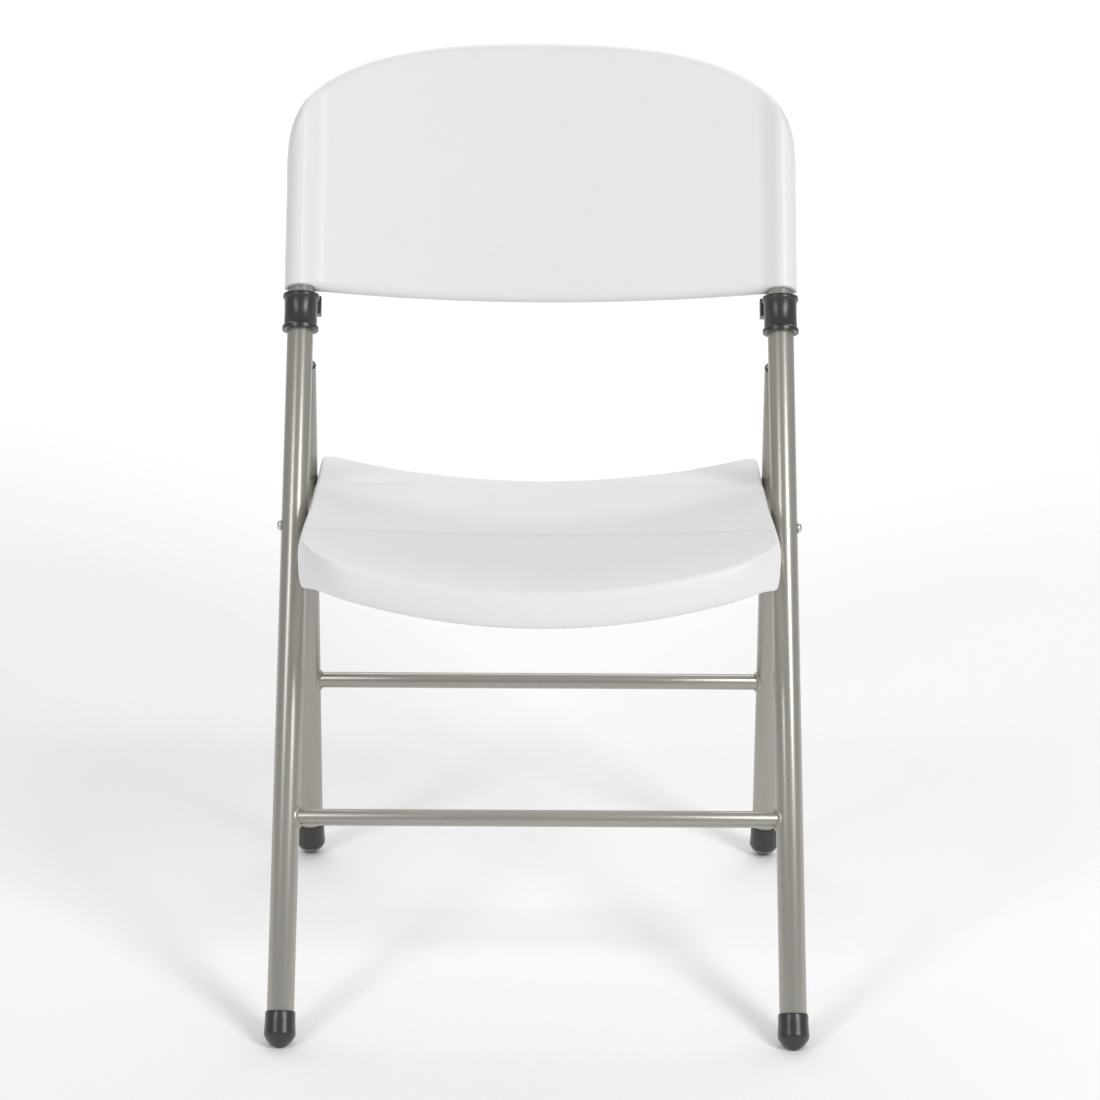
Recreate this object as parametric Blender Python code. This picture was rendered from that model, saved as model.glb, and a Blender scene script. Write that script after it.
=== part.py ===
"""A folding chair: two straight front tubes that carry the back, a hinged rear frame, and a
moulded seat that turns on the front tubes while a pin on each rear leg slides in its bracket.

Metres, +Z up, +X to the sitter's left, the chair faces -Y. Each frame has an empty on its axis:
front_frame on the floor, rear_frame on the rear legs' hinge, seat_frame on the seat's pivot.
"""

from math import asin, atan2, cos, pi, radians, sin, sqrt, tan

import bmesh
import bpy
from mathutils import Matrix, Vector

GAP = 0.0003
SEGMENTS = 24
SMALL_SEGMENTS = 12
SIDES = {"left": 1, "right": -1}

# Tubes
TUBE_DIAMETER = 0.0254
TUBE_WALL = 0.0012
BAR_DIAMETER = 0.0159
BAR_WALL = 0.0010
TUBE_RADIUS = TUBE_DIAMETER / 2
BAR_RADIUS = BAR_DIAMETER / 2

# Front frame: s is the distance from the floor along the front tubes.
FRONT_TILT = radians(32.8)
FRONT_FLOOR_HALF_SPACING = 0.2391
FRONT_SPLAY = radians(0.44)
FRONT_BAR_HEIGHT = 0.2156

# Seat pivot and the rear legs' hinge on the front tubes
SEAT_PIVOT_HEIGHT = 0.498
LEG_HINGE_HEIGHT = 0.6807
LEG_HINGE_CLEARANCE = 0.0046
LEG_HINGE_SETBACK = TUBE_DIAMETER + LEG_HINGE_CLEARANCE

# Rear frame: t is the distance from the hinge along the rear legs, negative downwards.
REAR_FOOT_REACH = 0.430
REAR_INSET = 0.0009
REAR_HINGE_HALF_SPACING = FRONT_FLOOR_HALF_SPACING - LEG_HINGE_HEIGHT * tan(FRONT_SPLAY) - REAR_INSET
REAR_SPLAY = radians(0.37)
REAR_BAR_DROP = 0.3584
SLIDE_PIN_DROP = 0.141

# Foot caps
CAP_WALL = 0.0015
CAP_FLARE = 0.0007
CAP_SOLE = 0.0056
CAP_TOP_RADIUS = TUBE_RADIUS + CAP_WALL
CAP_FOOT_RADIUS = CAP_TOP_RADIUS + CAP_FLARE
CAP_LENGTH = 0.0332
CAP_EDGE = 0.0012
CAP_DOME_BASE = 0.0121
CAP_DOME_HEIGHT = 0.0136
CAP_DOME_POWER = 1.5
CAP_DOME_STEPS = 8

# Hinge between the front tube and the rear leg
TONGUE_THICKNESS = 0.0040
TONGUE_WIDTH = 0.0160
TONGUE_LENGTH = 0.052
CLEVIS_SHEET = 0.0025
CLEVIS_HALF_HEIGHT = 0.0085
PLUG_DOME = 0.0050
PLUG_SHANK = 0.016
PLUG_CLEARANCE = 0.0030
REAR_TUBE_DROP = CLEVIS_HALF_HEIGHT + PLUG_DOME + PLUG_CLEARANCE

# Rivets, pins and screws
RIVET_RADIUS = 0.0040
RIVET_HEAD_RADIUS = 0.0052
RIVET_DOME = 0.0042
CLENCH_RADIUS = 0.0060
CLENCH_THICKNESS = 0.0020
SPACER_RADIUS = 0.0075
SCREW_RADIUS = 0.0020
SCREW_HEAD_RADIUS = 0.0042
SCREW_HEAD_HEIGHT = 0.0024

# Collars under the back
COLLAR_CLEARANCE = 0.0033
COLLAR_HEIGHT = LEG_HINGE_HEIGHT + CLEVIS_HALF_HEIGHT + COLLAR_CLEARANCE
COLLAR_LENGTH = 0.036
COLLAR_WALL = 0.0032
COLLAR_LIP = 0.0019
COLLAR_RADIUS = TUBE_RADIUS + COLLAR_WALL
COLLAR_FLANGE_RADIUS = COLLAR_RADIUS + COLLAR_LIP
COLLAR_FLANGE = 0.0040
COLLAR_EDGE = 0.0008
LUG_LENGTH = 0.0175
LUG_RISE = 0.0030
LUG_REACH = 0.0123
LUG_INWARD = 0.0060
LUG_OUTWARD = 0.0060
LUG_DEPTH = TUBE_RADIUS + LUG_REACH

# Back shell
BACK_CLEARANCE = 0.0055
BACK_BOTTOM = COLLAR_HEIGHT + COLLAR_LENGTH + BACK_CLEARANCE
BACK_BOTTOM_BOW = 0.0042
BACK_HEIGHT = 0.2640
BACK_TOP = BACK_BOTTOM + BACK_HEIGHT
BACK_CORNER_HEIGHT = 0.130
BACK_CORNER_POWER = 2.40
BACK_SLEEVE_WALL = 0.0047
BACK_SLEEVE_RADIUS = TUBE_RADIUS + GAP + BACK_SLEEVE_WALL
BACK_SLEEVE_DEPTH = 0.138
BACK_PANEL_THICKNESS = 0.0190
BACK_PANEL_SETBACK = 0.0220
BACK_SLEEVE_BLEND = 0.016
BACK_SCREW_RISE = 0.066
BACK_SCREW_HEIGHT = BACK_BOTTOM + BACK_SCREW_RISE
FRONT_TUBE_END = BACK_BOTTOM + BACK_SLEEVE_DEPTH
BACK_HALF_WIDTH = FRONT_FLOOR_HALF_SPACING - FRONT_TUBE_END * tan(FRONT_SPLAY) + BACK_SLEEVE_RADIUS
SHELL_WALL = 0.0030
VENT_RADIUS = 0.0040
BACK_COLUMNS = 30
BACK_ROWS = 18

# Slotted steel brackets, each held off the front tube by the pivot's spacer
BRACKET_SPACE = 0.0040
BRACKET_SHEET = 0.0020
BRACKET_OUTER = FRONT_FLOOR_HALF_SPACING - SEAT_PIVOT_HEIGHT * tan(FRONT_SPLAY) - TUBE_RADIUS - BRACKET_SPACE
BRACKET_FRONT = 0.130
BRACKET_REBATE_CLEARANCE = 0.0005
BRACKET_FLANGE_WIDTH = 0.022
BRACKET_FLANGE_REAR = 0.025
SLOT_CLEARANCE = 0.0005
SLOT_MARGIN = 0.0085
SLOT_STEPS = 14

# Seat shell, in the seat's own plane: y backwards from the pivot, z up
SEAT_TILT = radians(4.0)
SEAT_FRONT_REACH = 0.2507
SEAT_REAR_REACH = 0.1452
SEAT_REAR_COVER = 0.0004
SEAT_FRONT_COVER = 0.0030
SEAT_REAR_HALF_WIDTH = BRACKET_OUTER + SEAT_REAR_COVER
SEAT_FRONT_HALF_WIDTH = BRACKET_OUTER + SEAT_FRONT_COVER
SEAT_WIDENS_FROM = 0.030
SEAT_WIDENS_TO = 0.120
SEAT_FRONT_BOW = 0.0442
SEAT_FRONT_CORNER = 0.052
SEAT_REAR_CORNER = 0.026
SEAT_SIDE_HEIGHT = 0.0360
SEAT_DISH = 0.0284
SEAT_UNDERSIDE = -0.0117
SEAT_LIP_HEIGHT = 0.0340
SEAT_LIP_DEPTH = 0.045
SEAT_EDGE_RADIUS = 0.008
SEAT_COLUMNS = 30
SEAT_ROWS = 24
REBATE_CLEARANCE = 0.0018
REBATE_HEADROOM = 0.0035
REBATE_HALF_WIDTH = BRACKET_OUTER - BRACKET_SHEET - GAP - CLENCH_THICKNESS - REBATE_CLEARANCE
SEAT_SCREW_INSET = 0.014
SEAT_SCREW_END = 0.018
SEAT_SCREW_COUNT = 3

# The rear legs' lean and the turns of the fold follow from the places of the pivots.
HINGE_Y = LEG_HINGE_HEIGHT * sin(FRONT_TILT) + LEG_HINGE_SETBACK * cos(FRONT_TILT)
HINGE_Z = LEG_HINGE_HEIGHT * cos(FRONT_TILT) - LEG_HINGE_SETBACK * sin(FRONT_TILT)
REAR_LEAN = atan2(REAR_FOOT_REACH - HINGE_Y, HINGE_Z)
LEG_LENGTH = sqrt((REAR_FOOT_REACH - HINGE_Y) ** 2 + HINGE_Z**2)
LEG_FOLD = FRONT_TILT + REAR_LEAN

# The tubes end above the floor, inside their caps' soles.
FRONT_TUBE_START = TUBE_RADIUS * tan(FRONT_TILT) + CAP_SOLE
REAR_TUBE_START = TUBE_RADIUS * tan(REAR_LEAN) + CAP_SOLE
SEAT_FOLD = pi / 2 - FRONT_TILT + SEAT_TILT

STEEL = ("powder_coated_steel", (0.40, 0.385, 0.35), 0.38, 0.35)
ZINC = ("zinc_plated_steel", (0.66, 0.66, 0.66), 0.35, 0.9)
SHELL = ("white_moulded_plastic", (0.83, 0.82, 0.82), 0.5, 0.0)
BLACK = ("black_plastic", (0.045, 0.04, 0.042), 0.45, 0.0)


def clear_scene():
    for obj in list(bpy.data.objects):
        bpy.data.objects.remove(obj, do_unlink=True)


def material(finish):
    name, colour, roughness, metallic = finish
    made = bpy.data.materials.get(name)
    if made is None:
        made = bpy.data.materials.new(name)
        made.use_nodes = True
        shader = made.node_tree.nodes["Principled BSDF"]
        shader.inputs["Base Color"].default_value = (*colour, 1.0)
        shader.inputs["Roughness"].default_value = roughness
        shader.inputs["Metallic"].default_value = metallic
    return made


def empty(name, parent=None, location=(0, 0, 0), turn=0.0):
    obj = bpy.data.objects.new(name, None)
    obj.parent = parent
    obj.location = location
    obj.rotation_euler = (turn, 0, 0)
    bpy.context.scene.collection.objects.link(obj)
    return obj


def add_object(name, bm, parent, finish=None, matrix=None):
    """Links the mesh as an object of its parent's frame, with its faces pointing out."""
    bmesh.ops.recalc_face_normals(bm, faces=bm.faces)
    mesh = bpy.data.meshes.new(name)
    bm.to_mesh(mesh)
    bm.free()
    mesh.shade_smooth()
    mesh.set_sharp_from_angle(angle=radians(35))
    obj = bpy.data.objects.new(name, mesh)
    obj.parent = parent
    if matrix is not None:
        obj.matrix_local = matrix
    if finish is not None:
        mesh.materials.append(material(finish))
    bpy.context.scene.collection.objects.link(obj)
    return obj


def cut(obj, cutter, operation="DIFFERENCE"):
    cutter.hide_render = True
    cutter.display_type = "WIRE"
    modifier = obj.modifiers.new(cutter.name, "BOOLEAN")
    modifier.operation = operation
    modifier.object = cutter
    modifier.solver = "EXACT"


def along(start, end):
    """The matrix that puts +Z along the line from start to end, with its origin at start."""
    turn = (Vector(end) - Vector(start)).to_track_quat("Z", "Y")
    return Matrix.Translation(start) @ turn.to_matrix().to_4x4()


def turned(profile, segments, closed=False):
    """A solid turned about Z from (radius, height) points: a point on the axis closes an end,
    and a closed profile makes a ring."""
    bm = bmesh.new()
    rings = []
    for radius, height in profile:
        if radius == 0:
            rings.append([bm.verts.new((0, 0, height))])
            continue
        angles = [2 * pi * i / segments for i in range(segments)]
        rings.append([bm.verts.new((radius * cos(a), radius * sin(a), height)) for a in angles])
    pairs = list(zip(rings, rings[1:]))
    if closed:
        pairs.append((rings[-1], rings[0]))
    for low, high in pairs:
        for i in range(segments):
            j = (i + 1) % segments
            corners = [low[i % len(low)], low[j % len(low)], high[j % len(high)], high[i % len(high)]]
            bm.faces.new(list(dict.fromkeys(corners)))
    return bm


def rod(radius, length, segments=SEGMENTS, bore=0.0):
    """A round rod from the origin along +Z, or a tube where it has a bore."""
    if bore:
        profile = [(bore, 0), (radius, 0), (radius, length), (bore, length)]
        return turned(profile, segments, closed=True)
    return turned([(0, 0), (radius, 0), (radius, length), (0, length)], segments)


def prism(outline, low, high):
    """An outline of (y, z) points carried along X from low to high."""
    bm = bmesh.new()
    base = bm.faces.new([bm.verts.new((low, y, z)) for y, z in outline])
    made = bmesh.ops.extrude_face_region(bm, geom=[base])["geom"]
    verts = [item for item in made if isinstance(item, bmesh.types.BMVert)]
    bmesh.ops.translate(bm, vec=(high - low, 0, 0), verts=verts)
    return bm


def block(low, high):
    (x0, y0, z0), (x1, y1, z1) = low, high
    return prism([(y0, z0), (y1, z0), (y1, z1), (y0, z1)], min(x0, x1), max(x0, x1))


def dome(radius, height, base, steps=3):
    """Points of a shallow dome above base, from its rim to its top on the axis."""
    return [
        (radius * cos(pi / 2 * i / steps) if i < steps else 0, base + height * sin(pi / 2 * i / steps))
        for i in range(steps + 1)
    ]


def cross_hole(name, parent, x_from, x_to, y, z, radius):
    """A cutter along X through a wall of its parent's frame."""
    start, end = (min(x_from, x_to), y, z), (max(x_from, x_to), y, z)
    return add_object(name, rod(radius, end[0] - start[0], SMALL_SEGMENTS), parent, None, along(start, end))


def rivet(name, parent, finish, x_head, x_clench, y, z, head_radius=RIVET_HEAD_RADIUS):
    """A rivet along X: a dome outside x_head, and a flat clenched end past x_clench."""
    length = abs(x_clench - x_head)
    profile = [(0, -CLENCH_THICKNESS), (CLENCH_RADIUS, -CLENCH_THICKNESS), (CLENCH_RADIUS, 0)]
    profile += [(RIVET_RADIUS, 0), (RIVET_RADIUS, length)]
    profile += dome(head_radius, RIVET_DOME, length)
    matrix = along((x_clench, y, z), (x_head, y, z))
    return add_object(name, turned(profile, SMALL_SEGMENTS), parent, finish, matrix)


def screw(name, parent, finish, seat, tip):
    """A pan-head screw: the head's flat underside is at seat, and the thread ends at tip."""
    length = (Vector(tip) - Vector(seat)).length
    profile = [(0, length), (SCREW_RADIUS, length), (SCREW_RADIUS, 0), (SCREW_HEAD_RADIUS, 0)]
    profile += [(r, -h) for r, h in dome(SCREW_HEAD_RADIUS, SCREW_HEAD_HEIGHT, 0)][1:]
    return add_object(name, turned(profile, SMALL_SEGMENTS), parent, finish, along(seat, tip))


def front_x(s):
    return FRONT_FLOOR_HALF_SPACING - s * tan(FRONT_SPLAY)


def rear_x(t):
    return REAR_HINGE_HALF_SPACING - t * tan(REAR_SPLAY)


def front_tube(side, sign, frame):
    start = (sign * front_x(FRONT_TUBE_START), 0, FRONT_TUBE_START)
    end = (sign * front_x(FRONT_TUBE_END), 0, FRONT_TUBE_END)
    length = (Vector(end) - Vector(start)).length
    shape = rod(TUBE_RADIUS, length, bore=TUBE_RADIUS - TUBE_WALL)
    tube = add_object(f"front_tube_{side}", shape, frame, STEEL, along(start, end))
    x = sign * front_x(SEAT_PIVOT_HEIGHT)
    reach = sign * 2 * TUBE_RADIUS
    hole = (x - reach, x + reach, 0, SEAT_PIVOT_HEIGHT, RIVET_RADIUS + GAP)
    cut(tube, cross_hole(f"cut_seat_pivot_{side}", frame, *hole))
    for place, at in (("collar", collar_screw_height()), ("back", BACK_SCREW_HEIGHT)):
        outer = (sign * front_x(at), 2 * TUBE_RADIUS, at)
        inner = (sign * front_x(at), 0, at)
        shape = rod(SCREW_RADIUS + GAP, 2 * TUBE_RADIUS, SMALL_SEGMENTS)
        cut(tube, add_object(f"cut_{place}_screw_{side}", shape, frame, None, along(inner, outer)))


def crossbar(name, frame, height, half_spacing, slope):
    """A tube welded between the legs, its ends coped to them."""
    half = half_spacing - TUBE_WALL
    shape = rod(BAR_RADIUS, 2 * half, bore=BAR_RADIUS - BAR_WALL)
    bar = add_object(name, shape, frame, STEEL, along((-half, 0, height), (half, 0, height)))
    for side, sign in SIDES.items():
        reach = 2 * BAR_RADIUS
        low = (sign * (half_spacing + reach * tan(slope)), 0, height - reach)
        high = (sign * (half_spacing - reach * tan(slope)), 0, height + reach)
        length = (Vector(high) - Vector(low)).length
        cope = add_object(f"cut_{name}_{side}", rod(TUBE_RADIUS + GAP, length), frame, None, along(low, high))
        cut(bar, cope)


def foot_cap(name, frame, half_spacing, floor, slope, lean, tube_end):
    """A cap with a domed foot, pushed over the tube's end and flat where it stands on the floor."""
    sign = 1 if half_spacing > 0 else -1
    top = (half_spacing - sign * CAP_LENGTH * tan(slope), 0, floor + CAP_LENGTH)
    matrix = along((half_spacing, 0, floor), top)
    profile = [(0, CAP_DOME_BASE - CAP_DOME_HEIGHT)]
    for i in range(1, CAP_DOME_STEPS + 1):
        angle = pi / 2 * i / CAP_DOME_STEPS
        radius = CAP_FOOT_RADIUS * sin(angle) ** (2 / CAP_DOME_POWER)
        drop = CAP_DOME_HEIGHT * abs(cos(angle)) ** (2 / CAP_DOME_POWER)
        profile.append((radius, CAP_DOME_BASE - drop))
    profile += [(CAP_TOP_RADIUS, CAP_LENGTH - CAP_EDGE), (CAP_TOP_RADIUS - CAP_EDGE / 2, CAP_LENGTH)]
    profile.append((TUBE_RADIUS + GAP, CAP_LENGTH))
    bore_end = tube_end - GAP - floor
    profile += [(TUBE_RADIUS + GAP, bore_end), (0, bore_end)]
    shape = turned(profile, SEGMENTS)
    # The floor's normal in the tube's own axes
    up = matrix.to_3x3().inverted() @ Vector((0, sin(lean), cos(lean)))
    geometry = list(shape.verts) + list(shape.edges) + list(shape.faces)
    sliced = bmesh.ops.bisect_plane(shape, geom=geometry, plane_co=(0, 0, 0), plane_no=up, clear_inner=True)
    rim = [item for item in sliced["geom_cut"] if isinstance(item, bmesh.types.BMEdge)]
    bmesh.ops.edgeloop_fill(shape, edges=rim)
    add_object(name, shape, frame, BLACK, matrix)


def seat_pivot(side, sign, frame):
    """The rivet that carries the seat, with a spacer between the tube and the bracket."""
    tube = front_x(SEAT_PIVOT_HEIGHT)
    head = sign * (tube + TUBE_RADIUS + GAP)
    clench = sign * (BRACKET_OUTER - BRACKET_SHEET - GAP)
    rivet(f"seat_pivot_rivet_{side}", frame, ZINC, head, clench, 0, SEAT_PIVOT_HEIGHT)
    inner, outer = BRACKET_OUTER + GAP, tube - TUBE_RADIUS - GAP
    shape = rod(SPACER_RADIUS, outer - inner, SMALL_SEGMENTS, bore=RIVET_RADIUS + GAP)
    start, end = (sign * inner, 0, SEAT_PIVOT_HEIGHT), (sign * outer, 0, SEAT_PIVOT_HEIGHT)
    add_object(f"seat_pivot_spacer_{side}", shape, frame, BLACK, along(start, end))


def hinge_clevis(side, sign, frame):
    """A folded steel clevis welded behind the front tube, and the rivet through it."""
    x = sign * REAR_HINGE_HALF_SPACING
    gap = TONGUE_THICKNESS / 2 + GAP
    back = TUBE_RADIUS + GAP
    outline = [(back, LEG_HINGE_HEIGHT - CLEVIS_HALF_HEIGHT)]
    for i in range(13):
        angle = -pi / 2 + pi * i / 12
        y = LEG_HINGE_SETBACK + CLEVIS_HALF_HEIGHT * cos(angle)
        outline.append((y, LEG_HINGE_HEIGHT + CLEVIS_HALF_HEIGHT * sin(angle)))
    outline.append((back, LEG_HINGE_HEIGHT + CLEVIS_HALF_HEIGHT))
    half = gap + CLEVIS_SHEET
    clevis = add_object(f"hinge_clevis_{side}", prism(outline, x - half, x + half), frame, STEEL)
    mouth = back + CLEVIS_SHEET
    low = (x - gap, mouth, LEG_HINGE_HEIGHT - 2 * CLEVIS_HALF_HEIGHT)
    high = (x + gap, LEG_HINGE_SETBACK + 2 * CLEVIS_HALF_HEIGHT, LEG_HINGE_HEIGHT + 2 * CLEVIS_HALF_HEIGHT)
    cut(clevis, add_object(f"cut_clevis_mouth_{side}", block(low, high), frame))
    hole = (x - 2 * half, x + 2 * half, LEG_HINGE_SETBACK, LEG_HINGE_HEIGHT, RIVET_RADIUS + GAP)
    cut(clevis, cross_hole(f"cut_clevis_hole_{side}", frame, *hole))
    reach = half + GAP
    ends = (x + sign * reach, x - sign * reach)
    rivet(f"leg_hinge_rivet_{side}", frame, ZINC, *ends, LEG_HINGE_SETBACK, LEG_HINGE_HEIGHT)


def rear_tube(side, sign, frame):
    start = (sign * rear_x(-LEG_LENGTH), 0, REAR_TUBE_START - LEG_LENGTH)
    end = (sign * rear_x(-REAR_TUBE_DROP), 0, -REAR_TUBE_DROP)
    length = (Vector(end) - Vector(start)).length
    shape = rod(TUBE_RADIUS, length, bore=TUBE_RADIUS - TUBE_WALL)
    tube = add_object(f"rear_tube_{side}", shape, frame, STEEL, along(start, end))
    x = sign * rear_x(-SLIDE_PIN_DROP)
    reach = sign * 2 * TUBE_RADIUS
    hole = (x - reach, x + reach, 0, -SLIDE_PIN_DROP, RIVET_RADIUS + GAP)
    cut(tube, cross_hole(f"cut_slide_pin_{side}", frame, *hole))


def hinge_tongue(side, sign, frame):
    """A flat steel tongue held in the rear tube, and the plug that closes the tube round it."""
    x = sign * REAR_HINGE_HALF_SPACING
    half = TONGUE_WIDTH / 2
    outline = [(-half, -TONGUE_LENGTH)]
    outline += [(half * cos(a), half * sin(a)) for a in (pi - pi * i / 12 for i in range(13))]
    outline.append((half, -TONGUE_LENGTH))
    shape = prism(outline, x - TONGUE_THICKNESS / 2, x + TONGUE_THICKNESS / 2)
    tongue = add_object(f"hinge_tongue_{side}", shape, frame, STEEL)
    reach = 2 * TONGUE_THICKNESS
    cut(tongue, cross_hole(f"cut_tongue_hole_{side}", frame, x - reach, x + reach, 0, 0, RIVET_RADIUS + GAP))

    rim = -REAR_TUBE_DROP + GAP
    shank = TUBE_RADIUS - TUBE_WALL - GAP
    profile = [(0, rim - PLUG_SHANK), (shank, rim - PLUG_SHANK), (shank, rim), (TUBE_RADIUS, rim)]
    profile += [(r, h) for r, h in dome(TUBE_RADIUS, PLUG_DOME, rim, steps=4)][1:]
    low = (sign * rear_x(-REAR_TUBE_DROP), 0, 0)
    high = (sign * rear_x(0), 0, REAR_TUBE_DROP)
    axis = along(low, high)
    axis.translation = (sign * REAR_HINGE_HALF_SPACING, 0, 0)
    plug = add_object(f"rear_tube_plug_{side}", turned(profile, SEGMENTS), frame, BLACK, axis)
    low = (x - TONGUE_THICKNESS / 2 - GAP, -half - GAP, -TONGUE_LENGTH)
    high = (x + TONGUE_THICKNESS / 2 + GAP, half + GAP, PLUG_DOME)
    cut(plug, add_object(f"cut_plug_slot_{side}", block(low, high), frame))


def slide_pin(side, sign, frame):
    """The pin on the rear leg that slides in the seat bracket's slot, with its washer."""
    tube = rear_x(-SLIDE_PIN_DROP)
    head = sign * (tube + TUBE_RADIUS + GAP)
    clench = sign * (BRACKET_OUTER - BRACKET_SHEET - GAP)
    rivet(f"slide_pin_{side}", frame, ZINC, head, clench, 0, -SLIDE_PIN_DROP)
    inner, outer = BRACKET_OUTER + GAP, tube - TUBE_RADIUS - GAP
    shape = rod(SPACER_RADIUS, outer - inner, SMALL_SEGMENTS, bore=RIVET_RADIUS + GAP)
    start, end = (sign * inner, 0, -SLIDE_PIN_DROP), (sign * outer, 0, -SLIDE_PIN_DROP)
    add_object(f"slide_washer_{side}", shape, frame, BLACK, along(start, end))


def collar_screw_height():
    return COLLAR_HEIGHT + COLLAR_LENGTH + LUG_RISE - LUG_LENGTH / 2


def collar(side, sign, frame):
    """A flanged plastic collar clamped on the front tube under the back, with a rear lug."""
    x = sign * front_x(COLLAR_HEIGHT)
    top = COLLAR_HEIGHT + COLLAR_LENGTH
    matrix = along((x, 0, COLLAR_HEIGHT), (sign * front_x(top), 0, top))
    bore = TUBE_RADIUS + GAP
    flange, body, edge = COLLAR_FLANGE_RADIUS, COLLAR_RADIUS, COLLAR_EDGE
    low, high, end = COLLAR_FLANGE, COLLAR_LENGTH - COLLAR_FLANGE, COLLAR_LENGTH
    profile = [(bore, 0), (flange - edge, 0), (flange, edge), (flange, low - edge), (body, low)]
    profile += [(body, high), (flange, high + edge), (flange, end - edge), (flange - edge, end), (bore, end)]
    ring = add_object(f"collar_{side}", turned(profile, SEGMENTS, closed=True), frame, BLACK, matrix)
    inner, outer = x - sign * (TUBE_RADIUS + LUG_INWARD), x + sign * LUG_OUTWARD
    lug = block((inner, 0, top + LUG_RISE - LUG_LENGTH), (outer, LUG_DEPTH, top + LUG_RISE))
    cut(ring, add_object(f"add_collar_lug_{side}", lug, frame), "UNION")
    below, above = COLLAR_HEIGHT - COLLAR_FLANGE, top + COLLAR_FLANGE
    start, end = (sign * front_x(below), 0, below), (sign * front_x(above), 0, above)
    shape = rod(bore, (Vector(end) - Vector(start)).length)
    cut(ring, add_object(f"cut_collar_bore_{side}", shape, frame, None, along(start, end)))
    at = collar_screw_height()
    axis = sign * front_x(at)
    shape = rod(SCREW_RADIUS + GAP, LUG_DEPTH, SMALL_SEGMENTS)
    hole = along((axis, TUBE_RADIUS, at), (axis, LUG_DEPTH + TUBE_RADIUS, at))
    cut(ring, add_object(f"cut_collar_hole_{side}", shape, frame, None, hole))
    tip = (axis, TUBE_RADIUS - 2 * TUBE_WALL, at)
    screw(f"collar_screw_{side}", frame, ZINC, (axis, LUG_DEPTH + GAP, at), tip)


def spread(count, bunch=1.0):
    """Places from 0 to 1, closer together near both ends."""
    even = [i / count for i in range(count + 1)]
    return [(1 - bunch) * u + bunch * (1 - cos(pi * u)) / 2 for u in even]


def pillow(columns, rows, place):
    """A closed shell between two grids that share their border: place(u, v, face) gives a point,
    with face -1 for the lower grid and +1 for the upper one."""
    bm = bmesh.new()
    us, vs = spread(columns), spread(rows)
    grids = {face: {} for face in (-1, 1)}
    for i, u in enumerate(us):
        for j, v in enumerate(vs):
            border = i in (0, columns) or j in (0, rows)
            lower = bm.verts.new(place(u, v, -1))
            grids[-1][i, j] = lower
            grids[1][i, j] = lower if border else bm.verts.new(place(u, v, 1))
    for grid in grids.values():
        for i in range(columns):
            for j in range(rows):
                bm.faces.new((grid[i, j], grid[i + 1, j], grid[i + 1, j + 1], grid[i, j + 1]))
    return bm


def rounded(distance, radius):
    """0 at an edge, 1 from radius inwards, round between."""
    left = 1 - min(max(distance, 0) / radius, 1)
    return sqrt(1 - left * left)


def back_top(x, margin=0.0):
    """The height of the back's top edge at x, a superellipse over its upper part."""
    share = min(abs(x) / (BACK_HALF_WIDTH - margin), 1)
    rise = (1 - share**BACK_CORNER_POWER) ** (1 / BACK_CORNER_POWER)
    return BACK_TOP - BACK_CORNER_HEIGHT + (BACK_CORNER_HEIGHT - margin) * rise


def back_bottom(x, margin=0.0):
    """The height of the back's bottom edge at x, bowed down between the sleeves."""
    share = min(abs(x) / (BACK_HALF_WIDTH - BACK_SLEEVE_RADIUS), 1)
    return BACK_BOTTOM + margin - BACK_BOTTOM_BOW * (1 - share * share)


def back_middle(x):
    """Where the middle of the shell's thickness lies: on the tubes' plane at the sleeves, and
    set back between them."""
    sleeve = BACK_HALF_WIDTH - BACK_SLEEVE_RADIUS
    share = min(abs(x) / sleeve, 1)
    return BACK_PANEL_SETBACK * (1 - share * share)


def back_half_thickness(x):
    """Half of the thickness: a round sleeve at each side, and a panel between them."""
    inward = BACK_HALF_WIDTH - BACK_SLEEVE_RADIUS - abs(x)
    panel = BACK_PANEL_THICKNESS / 2
    if inward <= 0:
        return BACK_SLEEVE_RADIUS
    share = min(inward / (BACK_SLEEVE_RADIUS + BACK_SLEEVE_BLEND), 1)
    ease = share * share * (3 - 2 * share)
    return BACK_SLEEVE_RADIUS + (panel - BACK_SLEEVE_RADIUS) * ease


def back_place(margin, half_width):
    """The place function of the back, drawn in by margin and limited to half_width."""

    def place(u, v, face):
        x = half_width * (2 * u - 1)
        low, high = back_bottom(x, margin), back_top(x, margin)
        s = low + v * (high - low)
        # The top edge falls away at the corners, so the distance to it shrinks with its slope.
        step = half_width / BACK_COLUMNS
        near = min(abs(x) + step, half_width)
        slope = (high - back_top(near, margin)) / max(near - abs(x), step / BACK_COLUMNS)
        distance = min((high - s) / sqrt(1 + slope * slope), s - low)
        half = back_half_thickness(x) - margin
        side = rounded(half_width - abs(x), half)
        edge = rounded(distance, BACK_PANEL_THICKNESS / 2)
        return (x, back_middle(x) + face * half * side * edge, s)

    return place


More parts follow.
